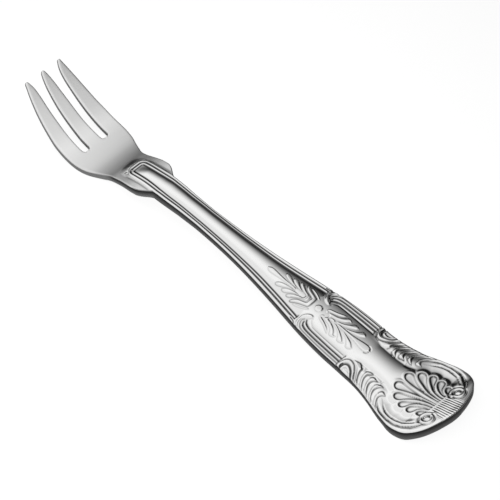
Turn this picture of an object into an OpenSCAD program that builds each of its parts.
// Oyster fork: one piece of stainless steel, stamped from sheet, coined and bent.
// +Y runs from the handle end to the tine tips, +X to the right and +Z up.
// It lies on the flat under its handle end and on the belly of its head.

/* [Length] */
// Length of the fork from the handle end to the tine tips, seen from above
fork_length = 142; // [132:1:152]
// Length of the head, from the back of the shoulder tabs to the tine tips
head_length = 42; // [39:0.5:45]
// Depth of the slots between the tines
slot_length = 19; // [17:0.5:21]

/* [Width] */
// Width of the handle end across its widest point
handle_width = 24.6; // [22.5:0.1:27]
// Width of the waist, where the reeded bars lie
waist_width = 16.2; // [15:0.1:17.5]
// Width of the slim shank
shank_width = 6.4; // [5.8:0.1:7.2]
// Width of the shank where it ends on the head
shank_end_width = 6.1; // [5.6:0.1:6.6]
// Width across the shoulder tabs
tab_width = 12; // [11.4:0.1:13]
// Width of the neck between the tabs and the bowl
neck_width = 11.3; // [10.4:0.1:11.4]
// Width of the head at the slots' roots
head_width = 17.4; // [16:0.1:19]
// Distance between the centres of the outer tine tips
tip_spread = 11; // [10:0.1:12]
// Width of a tine's tip
tip_width = 1.3; // [1:0.05:1.6]
// Width of the middle tine at its root
middle_tine_width = 4.1; // [3.6:0.1:4.6]
// Width of a slot at its root
slot_width = 2.1; // [1.8:0.1:2.4]

/* [Height] */
// Height of the tine tips above the table
tip_height = 14.3; // [12:0.1:16]
// Height of the shank's top at the shoulders
shank_height = 6.8; // [6:0.1:8]
// Height of the handle end's raised edge
end_height = 6.2; // [5:0.1:7]
// Length of the flat that the handle end rests on
rest_length = 6; // [4:0.5:8]

/* [Thickness] */
// Thickness of the handle at the acanthus borders
handle_thickness = 2; // [1.7:0.1:2.4]
// Thickness of the handle end's edge
end_thickness = 2.8; // [2.4:0.1:3.2]
// Thickness of the slim shank
shank_thickness = 2.2; // [1.9:0.1:2.6]
// Thickness of the shank at the shoulders
shoulder_thickness = 2.7; // [2.3:0.1:3]
// Thickness of the head at the bowl
head_thickness = 1.6; // [1.4:0.1:2]
// Thickness of the tines at their tips, measured upright
tip_thickness = 1.4; // [1.1:0.1:1.7]

/* [Relief] */
// Depth of the grooves between the beads and reeds
groove_depth = 0.3; // [0.15:0.05:0.4]
// Height of the reeds above the ground
reed_height = 0.25; // [0.1:0.05:0.35]
// Height of the leaves, lobes and scrolls above the ground
leaf_height = 0.45; // [0.25:0.05:0.6]
// Height that the middle of the handle's face stands above its edges
crown_height = 0.45; // [0.2:0.05:0.6]
// Height of the shank's rounded end above the head
step_height = 1.3; // [1:0.1:1.6]

/* [Hidden] */

half = 1 / 2;
handle_length = fork_length - head_length;
// Overrun of a cut, and the depth to which relief sinks into its ground
overrun = 1;
sink = 0.35;
ball_sides = 10;
slot_sides = 24;

// Distances from the handle end, as shares of the handle's length, and half widths
// as shares of half the handle's greatest width
end_outline_shares = [
    [0, 0.08], [0.001, 0.14], [0.004, 0.22], [0.011, 0.415], [0.021, 0.61], [0.031, 0.75],
    [0.043, 0.86], [0.057, 0.935], [0.074, 0.985], [0.095, 1], [0.11, 0.992], [0.13, 0.96],
    [0.15, 0.919], [0.17, 0.87], [0.2, 0.797], [0.24, 0.721], [0.28, 0.675]
];
// The taper from the waist to the slim shank: distances as shares of the handle's length,
// and half widths as shares of the step from the shank to the waist
taper_shares = [
    [0.32, 1], [0.36, 0.985], [0.4, 0.933], [0.45, 0.832], [0.5, 0.69], [0.55, 0.535],
    [0.6, 0.396], [0.65, 0.268], [0.7, 0.166], [0.75, 0.089], [0.8, 0.037], [0.86, 0], [0.92, 0.02]
];
// The shank's half width over the shoulders and the head, as shares of half its end width,
// at distances behind and on the head as shares of the head's length
shank_end_shares = [[-0.07, 1.12], [0, 1.12], [0.07, 1.06], [0.14, 1], [0.19, 1]];
// The rounded corners of the shank's end
rim_corner_shares = [[0.215, 0.93], [0.229, 0.78], [0.235, 0.6]];

// The head's outline from the tabs to the bowl: distances as shares of the head's length,
// half widths as shares of half the width named by the table
tab_outline_shares = [[-0.014, 0.6], [0.015, 0.74], [0.045, 0.905], [0.08, 0.985], [0.12, 1], [0.17, 0.99]];
neck_outline_shares = [[0.262, 1], [0.29, 1.008], [0.31, 1.03]];
bowl_outline_shares = [
    [0.333, 0.7], [0.357, 0.745], [0.381, 0.796], [0.405, 0.85], [0.43, 0.894], [0.455, 0.933],
    [0.48, 0.962], [0.52, 0.991], [0.57, 1], [0.62, 0.997], [0.667, 0.988], [0.714, 0.965],
    [0.762, 0.934], [0.81, 0.9], [0.857, 0.859], [0.905, 0.807], [0.952, 0.75]
];
// The outer tine's round tip: distances back from the tip, and widths outside the tip's
// centre, both as shares of the tip's width
tip_corner_shares = [[0.75, 0.6], [0.3, 0.42], [0.08, 0.28], [0, 0.12]];

// Underside along the handle: distances as shares of the handle's length, and heights
// as shares of the end's and then of the shank's rise
end_rise_shares = [[0, 1], [0.01, 0.83], [0.02, 0.67], [0.04, 0.41], [0.06, 0.23], [0.08, 0.1], [0.1, 0.03]];
rise_shares = [
    [0.24, 0.05], [0.28, 0.085], [0.32, 0.115], [0.36, 0.18], [0.4, 0.26], [0.45, 0.365], [0.5, 0.475],
    [0.55, 0.585], [0.6, 0.685], [0.65, 0.765], [0.7, 0.855], [0.75, 0.915], [0.8, 0.963], [0.86, 1],
    [0.92, 1], [0.96, 0.965], [0.99, 0.91]
];
// Underside along the head: distances as shares of the head's length, heights as shares
// of the shank's rise behind the belly and of the tips' rise before it
fall_shares = [
    [0.02, 0.86], [0.05, 0.8], [0.12, 0.685], [0.17, 0.575], [0.214, 0.455], [0.262, 0.325],
    [0.31, 0.2], [0.38, 0.07], [0.43, 0.015]
];
climb_shares = [
    [0.476, 0], [0.524, 0.012], [0.571, 0.042], [0.619, 0.085], [0.667, 0.145], [0.714, 0.222],
    [0.762, 0.32], [0.81, 0.43], [0.857, 0.552], [0.905, 0.69], [0.952, 0.84], [1, 1]
];

// Grooves beside the edge, as shares of the bead's width, along the handle's length
bead_width = 1;
groove_shares = [
    [0, 0.5, 1.2, 2.2, 3.3], [0.46, 0.45, 1.15, 2.1, 3.1], [0.477, 0.95, 1.9, 2.35, 2.9],
    [0.6, 0.95, 1.8, 2.2, 2.7], [0.72, 0.8, 1.5, 1.75, 2], [0.85, 0.65, 1.3, 1.5, 1.7],
    [1.1, 0.75, 1.5, 1.65, 1.8]
];
// Heights of the beads and reeds between those grooves, as shares of the reeds' height
bead_shares = [
    [0.319, 0, 0, 0, 0], [0.322, 1, 1, 1, 1], [0.457, 1, 1, 1, 1], [0.46, 0, 0, 0, 0],
    [0.477, 0, 0, 0, 0], [0.481, 1, 1, 0, 0], [1.1, 1, 1, 0, 0]
];

// Value of a smooth curve through [place, value] points
function slope(p, i) =
    i == 0 ? (p[1][1] - p[0][1]) / (p[1][0] - p[0][0])
    : i == len(p) - 1 ? (p[i][1] - p[i - 1][1]) / (p[i][0] - p[i - 1][0])
    : let (
        a = (p[i][1] - p[i - 1][1]) / (p[i][0] - p[i - 1][0]),
        b = (p[i + 1][1] - p[i][1]) / (p[i + 1][0] - p[i][0])
    ) (a * b <= 0 ? 0 : 2 * a * b / (a + b));
function stretch(p, y) = max([0, for (i = [0:len(p) - 2]) if (p[i][0] <= y) i]);
function curve(p, y_asked) =
    let (
        y = max(p[0][0], min(p[len(p) - 1][0], y_asked)),
        i = stretch(p, y),
        h = p[i + 1][0] - p[i][0],
        t = (y - p[i][0]) / h
    )
    (1 + 2 * t) * pow(1 - t, 2) * p[i][1] + t * pow(1 - t, 2) * h * slope(p, i)
    + t * t * (3 - 2 * t) * p[i + 1][1] - t * t * (1 - t) * h * slope(p, i + 1);
function straight(p, column, y) = lookup(y, [for (row = p) [row[0], row[column]]]);

// Places along the fork: on the handle from its end, on the head from the tabs' back
function on_handle(share) = share * handle_length;
function on_head(share) = handle_length + share * head_length;
function rows(shares, place, low, high) = [
    for (s = shares) [s[0] * place[0] + place[1], low + (high - low) * s[1]]
];
handle_place = [handle_length, 0];
head_place = [head_length, handle_length];

handle_outline = concat(
    rows(end_outline_shares, handle_place, 0, handle_width * half),
    rows(taper_shares, handle_place, shank_width * half, waist_width * half),
    rows(shank_end_shares, head_place, 0, shank_end_width * half),
    rows(rim_corner_shares, head_place, 0, shank_end_width * half)
);
tip_outline = [
    for (s = tip_corner_shares)
        [fork_length - s[0] * tip_width, tip_spread * half + s[1] * tip_width]
];
head_outline = concat(
    rows(tab_outline_shares, head_place, 0, tab_width * half),
    rows(neck_outline_shares, head_place, 0, neck_width * half),
    rows(bowl_outline_shares, head_place, 0, head_width * half),
    tip_outline
);

// Underside of the whole fork, thickness at the edges, and the two top lines
rest_centre = on_handle(0.15);
shank_rise = shank_height - shoulder_thickness;
under = concat(
    rows(end_rise_shares, handle_place, 0, end_height - end_thickness),
    [[rest_centre - rest_length * half, 0], [rest_centre + rest_length * half, 0]],
    rows(rise_shares, handle_place, 0, shank_rise),
    rows(fall_shares, head_place, 0, shank_rise),
    rows(climb_shares, head_place, 0, tip_height - tip_thickness)
);
edge_thickness = [
    [0, end_thickness], [on_handle(0.08), end_thickness], [on_handle(0.14), handle_thickness],
    [on_handle(0.26), handle_thickness], [on_handle(0.36), shank_thickness],
    [on_handle(0.8), shank_thickness], [on_handle(0.96), shoulder_thickness],
    [on_head(0.12), shoulder_thickness + step_height * half], [on_head(0.24), head_thickness + step_height]
];
plate_thickness = [
    [on_head(-0.02), shoulder_thickness - step_height * half], [on_head(0.14), shank_thickness],
    [on_head(0.38), head_thickness], [on_head(0.6), head_thickness], [fork_length, tip_thickness]
];
function handle_half(y) = curve(handle_outline, y);
function edge_top(y) = curve(under, y) + curve(edge_thickness, y);
function plate_top(y) = curve(under, y) + curve(plate_thickness, y);
// The handle's face without its relief: a crown across the width, flat at the very end
crown_shares = [[0, 0], [0.03, 0.2], [0.1, 0.8], [0.16, 1], [0.9, 1], [1.02, 0.8], [1.1, 0.3]];
function crown(y) = crown_height * lookup(y / handle_length, crown_shares);
function ground(x, y) = edge_top(y) + crown(y) * (1 - pow(x / handle_half(y), 2));

// One ring of points round the handle at y, from the left edge over the face and back under.
// The border of beads takes at most a share of the half width.
border_share = 0.8;
panel_share = 0.6;
belly_shares = [0.85, -0.85];
foot_share = 0.25;
function face_half(y) =
    let (w = handle_half(y), share = y / handle_length)
    let (room = min(1, w * border_share / (straight(groove_shares, 4, share) * bead_width)))
    let (g = [for (c = [1:4]) straight(groove_shares, c, share) * bead_width * room])
    let (h = [for (c = [1:4]) straight(bead_shares, c, share)])
    let (x = concat([0], g))
    concat(
        [[w, -groove_depth * h[0] * half]],
        [
            for (c = [0:3]) each [
                [w - (x[c] + x[c + 1]) * half, h[c] * reed_height],
                [w - x[c + 1], -groove_depth * max(h[c], c < 3 ? h[c + 1] : 0)]
            ]
        ],
        [[(w - g[3]) * panel_share, 0]]
    );
function ring(y) =
    let (side = face_half(y), w = handle_half(y), b = curve(under, y), n = len(side))
    let (foot = b + curve(edge_thickness, y) * foot_share)
    concat(
        [for (i = [0:n - 1]) [-side[i][0], y, ground(side[i][0], y) + side[i][1]]],
        [[0, y, ground(0, y)]],
        [for (i = [n - 1:-1:0]) [side[i][0], y, ground(side[i][0], y) + side[i][1]]],
        [[w, y, foot]],
        [for (s = belly_shares) [s * w, y, b]],
        [[-w, y, foot]]
    );

// A closed skin over rings that have the same number of points
module skin(rings) {
    n = len(rings[0]);
    last = len(rings) - 1;
    polyhedron(
        points = [for (r = rings) each r],
        faces = concat(
            [[for (j = [0:n - 1]) j]],
            [
                for (i = [0:last - 1], j = [0:n - 1])
                    let (k = (j + 1) % n)
                    each [[i * n + j, (i + 1) * n + j, i * n + k], [i * n + k, (i + 1) * n + j, (i + 1) * n + k]]
            ],
            [[for (j = [n - 1:-1:0]) last * n + j]]
        )
    );
}

// Stations along the handle: close together at the rounded ends, the breaks and the curl
fine_shares = [
    0, 0.001, 0.004, 0.011, 0.021, 0.031, 0.043, 0.057, 0.07, 0.085, 0.1, 0.12, 0.14, 0.16, 0.18,
    0.2, 0.22, 0.24, 0.26, 0.29, 0.319, 0.322, 0.36, 0.4, 0.43, 0.457, 0.46, 0.477, 0.481,
    0.51, 0.54, 0.57, 0.6, 0.64, 0.68, 0.72, 0.76, 0.81, 0.86, 0.9, 0.94
];
rim_station_shares = [-0.03, 0, 0.04, 0.08, 0.12, 0.16, 0.19, 0.215, 0.229, 0.235];
handle_stations = concat(
    [for (s = fine_shares) on_handle(s)],
    [for (s = rim_station_shares) on_head(s)]
);

module handle() {
    skin([for (y = handle_stations) ring(y)]);
}

// The head's plate: a slightly dished face over the same underside
dish_shares = [1, 0.93, 0.5, 0, -0.5, -0.93, -1];
edge_drop_shares = [0.25, 0, 0.02, 0.05, 0.02, 0, 0.25];
function plate_ring(y) =
    let (w = curve(head_outline, y), t = curve(plate_thickness, y), b = curve(under, y), n = len(dish_shares))
    concat(
        [for (i = [n - 1:-1:0]) [w * dish_shares[i], y, b + t * (1 - edge_drop_shares[i])]],
        [[w, y, b + t * foot_share]],
        [for (s = belly_shares) [s * w, y, b]],
        [[-w, y, b + t * foot_share]]
    );
plate_shares = [
    -0.014, 0, 0.015, 0.03, 0.045, 0.08, 0.12, 0.17, 0.214, 0.262, 0.29, 0.31, 0.333, 0.357, 0.381,
    0.405, 0.43, 0.455, 0.476, 0.52, 0.57, 0.62, 0.667, 0.714, 0.762, 0.81, 0.857, 0.905, 0.94
];
plate_stations = concat([for (s = plate_shares) on_head(s)], [for (p = tip_outline) p[0]]);

module head_plate() {
    skin([for (y = plate_stations) plate_ring(y)]);
}

// The slot between the middle and the right tine: the middle tine's side, then the outer's
middle_side_shares = [[0.1, 1], [0.5, 0.95], [0.65, 0.86], [0.8, 0.72], [0.9, 0.57]];
outer_side_shares = [[0.97, 0.85], [0.92, 0.3], [0.85, 0.1], [0.7, 0], [0.1, 0]];
module slot() {
    root = fork_length - slot_length;
    inner = middle_tine_width * half;
    outer = inner + slot_width;
    tip_inner = tip_spread * half - tip_width * half;
    points = concat(
        [for (s = middle_side_shares) [inner * s[1], root + s[0] * slot_length]],
        [[tip_width * half, fork_length - tip_width * half], [tip_width * half * half, fork_length]],
        [[tip_width * half * half, fork_length + overrun], [tip_inner + tip_width * half, fork_length + overrun]],
        [[tip_inner + tip_width * half * half, fork_length]],
        [for (s = outer_side_shares) [outer + (tip_inner - outer) * s[1], root + s[0] * slot_length]]
    );
    translate([0, 0, -overrun])
        linear_extrude(tip_height + 2 * overrun) {
            polygon(points);
            translate([(inner + outer) * half, root + slot_width * half])
                circle(d = slot_width, $fn = slot_sides);
            translate([inner, root + slot_width * half])
                square([slot_width, slot_width]);
        }
}

// A raised ridge along a path of plan points. It follows the ground, and its feet sink in.
function towards(path, i) =
    let (d = path[min(i + 1, len(path) - 1)] - path[max(i - 1, 0)])
    d / norm(d);
module ridge(path, half_widths, height) {
    n = len(path);
    rings = [
        for (i = [0:n - 1])
            let (t = towards(path, i), p = path[i], side = [t[1], -t[0]] * half_widths[i])
            let (a = p - side, b = p + side)
            let (rise = height * min(1, half_widths[i] / max(half_widths) + half))
            [
                [a[0], a[1], ground(a[0], a[1]) - sink * half],
                [p[0], p[1], ground(p[0], p[1]) + rise],
                [b[0], b[1], ground(b[0], b[1]) - sink * half],
                [p[0], p[1], ground(p[0], p[1]) - 2 * sink]
            ]
    ];
    skin(rings);
}
// A ridge given by shares of a cell: its size is [half width, length], its foot [0, start].
// With the side at -1 it is the mirror image.
module cell_ridge(shares, widths, cell, start, side = 1) {
    mirror([side < 0 ? 1 : 0, 0, 0])
        ridge([for (s = shares) [s[0] * cell[0], start + s[1] * cell[1]]], widths, leaf_height);
}

// Upper leaf spray: a long leaf towards the head, lobes on both sides and a chevron foot
spray_start = on_handle(0.479);
spray_size = [3.4, 14.4];
spray_leaf_shares = [[0, 0.17], [0, 0.45], [0, 0.8], [0, 0.94], [0, 1]];
spray_leaf_widths = [0.3, 0.5, 0.7, 0.5, 0.15];
spray_lobe_shares = [
    [[0.1, 0.46], [0.32, 0.58], [0.52, 0.68], [0.64, 0.72]],
    [[0.1, 0.34], [0.4, 0.44], [0.62, 0.52], [0.76, 0.56]],
    [[0.12, 0.22], [0.42, 0.31], [0.68, 0.38], [0.84, 0.41]],
    [[0.16, 0.12], [0.46, 0.18], [0.74, 0.28], [0.93, 0.31]]
];
lobe_widths = [0.2, 0.55, 0.65, 0.3];
spray_foot_shares = [[0.02, 0.03], [0.38, 0.03], [0.62, 0.1], [0.98, 0.22]];
foot_widths = [0.4, 0.45, 0.5, 0.2];
module upper_spray() {
    cell_ridge(spray_leaf_shares, spray_leaf_widths, spray_size, spray_start);
    for (side = [-1, 1]) {
        for (lobe = spray_lobe_shares)
            cell_ridge(lobe, lobe_widths, spray_size, spray_start, side);
        cell_ridge(spray_foot_shares, foot_widths, spray_size, spray_start, side);
    }
}

// Lower spray: an arch of two lobes, hooked lobes at the sides and a long leaf to the end
anthemion_start = on_handle(0.441);
anthemion_size = [3.5, -15.1];
anthemion_leaf_shares = [[0, 0.32], [0, 0.55], [0, 0.8], [0, 0.92], [0, 0.98], [0, 1]];
anthemion_leaf_widths = [0.3, 0.5, 0.95, 1.15, 0.8, 0.3];
anthemion_lobe_shares = [
    [[0.12, 0.02], [0.4, 0.02], [0.58, 0.14], [0.88, 0.28]],
    [[0.1, 0.12], [0.36, 0.24], [0.72, 0.36], [0.95, 0.4]],
    [[0.1, 0.27], [0.38, 0.43], [0.72, 0.57], [0.95, 0.58]],
    [[0.12, 0.38], [0.32, 0.57], [0.56, 0.73], [0.8, 0.75]]
];
hook_widths = [0.25, 0.55, 0.65, 0.4];
module anthemion() {
    cell_ridge(anthemion_leaf_shares, anthemion_leaf_widths, anthemion_size, anthemion_start);
    for (side = [-1, 1], lobe = anthemion_lobe_shares)
        cell_ridge(lobe, hook_widths, anthemion_size, anthemion_start, side);
}

// Side scroll over each reeded bar, and the fan and acanthus lobes down to the shell.
// Their points are [share of the half width there, share of the handle's length].
scroll_shares = [
    [0.98, 0.462], [0.88, 0.471], [0.7, 0.474], [0.5, 0.467], [0.42, 0.459], [0.5, 0.452], [0.6, 0.44]
];
scroll_widths = [0.3, 0.5, 0.55, 0.55, 0.5, 0.45, 0.25];
fan_shares = [
    [[0.97, 0.318], [0.78, 0.316], [0.64, 0.308], [0.6, 0.297], [0.68, 0.28], [0.9, 0.264]],
    [[0.97, 0.303], [0.86, 0.302], [0.8, 0.295], [0.83, 0.286], [0.95, 0.275]]
];
fan_widths = [0.3, 0.6, 0.65, 0.6, 0.5, 0.3];
acanthus_shares = [
    [[0.97, 0.254], [0.7, 0.262], [0.5, 0.268], [0.41, 0.279], [0.45, 0.291]],
    [[0.97, 0.233], [0.72, 0.248], [0.5, 0.25], [0.4, 0.244]],
    [[0.97, 0.213], [0.74, 0.227], [0.54, 0.23], [0.43, 0.223]],
    [[0.97, 0.191], [0.74, 0.206], [0.56, 0.209], [0.46, 0.2]],
    [[0.97, 0.168], [0.78, 0.183], [0.62, 0.187], [0.52, 0.179]]
];
acanthus_widths = [0.5, 0.9, 0.95, 0.75, 0.5];
function beside_edge(shares) =
    [for (s = shares) [s[0] * handle_half(on_handle(s[1])), on_handle(s[1])]];
module border_ridge(path, widths, height) {
    w = [for (i = [0:len(path) - 1]) widths[min(i, len(widths) - 1)]];
    ridge(path, w, height);
    mirror([1, 0, 0])
        ridge(path, w, height);
}
// The rim and the two reeds round the shell, from the acanthus lobes to the volutes.
// Their points are [share of half the handle's width, share of the handle's length].
rim_shares = [
    [0.79, 0.188], [0.84, 0.16], [0.905, 0.13], [0.945, 0.105], [0.945, 0.08], [0.9, 0.06],
    [0.8, 0.044], [0.68, 0.034], [0.52, 0.024], [0.38, 0.018]
];
reed_shares = [
    [[0.67, 0.182], [0.76, 0.162], [0.82, 0.138], [0.85, 0.11], [0.83, 0.087], [0.76, 0.067], [0.65, 0.053]],
    [[0.6, 0.174], [0.68, 0.157], [0.74, 0.136], [0.76, 0.11], [0.73, 0.089], [0.66, 0.073], [0.58, 0.064]]
];
rim_widths = [0.3, 0.5];
reed_widths = [0.25, 0.4, 0.45];
module borders() {
    border_ridge(beside_edge(scroll_shares), scroll_widths, leaf_height);
    for (f = fan_shares)
        border_ridge(beside_edge(f), fan_widths, leaf_height);
    for (a = acanthus_shares)
        border_ridge(beside_edge(a), acanthus_widths, leaf_height);
    border_ridge(across_end(rim_shares), rim_widths, reed_height);
    for (r = reed_shares)
        border_ridge(across_end(r), reed_widths, leaf_height);
}
function across_end(shares) = [for (s = shares) [s[0] * handle_width * half, on_handle(s[1])]];

// The shell: a scalloped mound of ribs with a sunken flute in each lobe
shell_base = on_handle(0.058);
shell_size = [6.6, 12.6];
shell_height = 0.55;
shell_bar_half = 2.9;
shell_bar_width = 0.3;
bar_shares = [-1, -0.5, 0, 0.5, 1];
rim_ratio = 1.4;
// Height of a flute's bottom over the ground
flute_rise = 0.2;
// Tips of the flutes: place across, place along and radius, as shares of the shell's size
flute_tip_shares = [
    [0.29, 0.86, 0.19], [0.63, 0.72, 0.175], [0.83, 0.53, 0.15], [0.88, 0.34, 0.13], [0.79, 0.16, 0.11]
];
flute_root_shares = [[0.07, 0.06], [0.15, 0.06], [0.22, 0.06], [0.29, 0.05], [0.36, 0.04]];
function shell_point(s) = [s[0] * shell_size[0], shell_base + s[1] * shell_size[1]];
// A flattened ball whose middle lies at a height over the ground
module button(place, radius, rise, lift) {
    translate([place[0], place[1], ground(place[0], place[1]) + lift])
        scale([1, 1, rise / radius])
            sphere(r = radius, $fn = ball_sides);
}
module shell_lobe(tip, root) {
    flute = tip[2] * shell_size[0];
    rim = flute * rim_ratio;
    difference() {
        hull() {
            button(shell_point(tip), rim, shell_height, 0);
            button(shell_point(root), rim * half, shell_height, 0);
        }
        hull() {
            button(shell_point(tip), flute, shell_height, shell_height + flute_rise);
            button(shell_point(root), flute * half * half, shell_height, shell_height + flute_rise);
        }
    }
}
module shell() {
    for (side = [0, 1])
        mirror([side, 0, 0])
            for (i = [0:len(flute_tip_shares) - 1])
                shell_lobe(flute_tip_shares[i], flute_root_shares[i]);
    ridge(
        [for (s = bar_shares) [s * shell_bar_half, shell_base]],
        [for (s = bar_shares) shell_bar_width],
        shell_height + leaf_height * half
    );
}

// Parallel flutes from the bar to the end's edge, and the volutes beside them
flute_pitch = 0.62;
flute_count = 11;
flute_width_share = 0.42;
// The flutes spread towards the edge by this share
spread_share = 0.15;
flute_shares = [0, 0.3, 0.65, 1];
volute_place = [5.6, 4.5];
volute_radius = 1.45;
boss_radius = 0.8;
volute_sides = 14;
volute_turn = 300;
volute_width = 0.3;
// The distance from the handle end at which the outline reaches a half width
function end_start(w) = lookup(w, [
    for (s = end_outline_shares) if (s[1] < 1) [s[1] * handle_width * half, on_handle(s[0]) + sink]
]);
module end_flutes() {
    for (i = [0:flute_count - 1]) {
        x = (i - (flute_count - 1) * half) * flute_pitch;
        start = end_start(abs(x) * (1 + spread_share));
        path = [
            for (s = flute_shares)
                [x * (1 + spread_share * (1 - s)), start + (shell_base - start) * s]
        ];
        ridge(path, [for (p = path) flute_pitch * flute_width_share], reed_height);
    }
}
module volute() {
    button(volute_place, boss_radius, leaf_height, leaf_height * half);
    turn = [
        for (i = [0:volute_sides])
            let (a = 360 - volute_turn + i * volute_turn / volute_sides)
            volute_place + volute_radius * [sin(a), cos(a)]
    ];
    ridge(turn, [for (p = turn) volute_width], leaf_height * half);
}

// A berry between the two sprays and an oval at the root of the lower one
berry_radius = 0.85;
oval_radius = 0.35;
module beads() {
    button([0, on_handle(0.459)], berry_radius, leaf_height, leaf_height * half);
    hull() {
        button([0, on_handle(0.413)], oval_radius, leaf_height, 0);
        button([0, on_handle(0.407)], oval_radius, leaf_height, 0);
    }
}

module fork() {
    color("silver")
        translate([0, -fork_length * half, 0]) {
            handle();
            difference() {
                head_plate();
                for (side = [0, 1])
                    mirror([side, 0, 0])
                        slot();
            }
            upper_spray();
            beads();
            anthemion();
            borders();
            shell();
            end_flutes();
            for (side = [0, 1])
                mirror([side, 0, 0])
                    volute();
        }
}

fork();
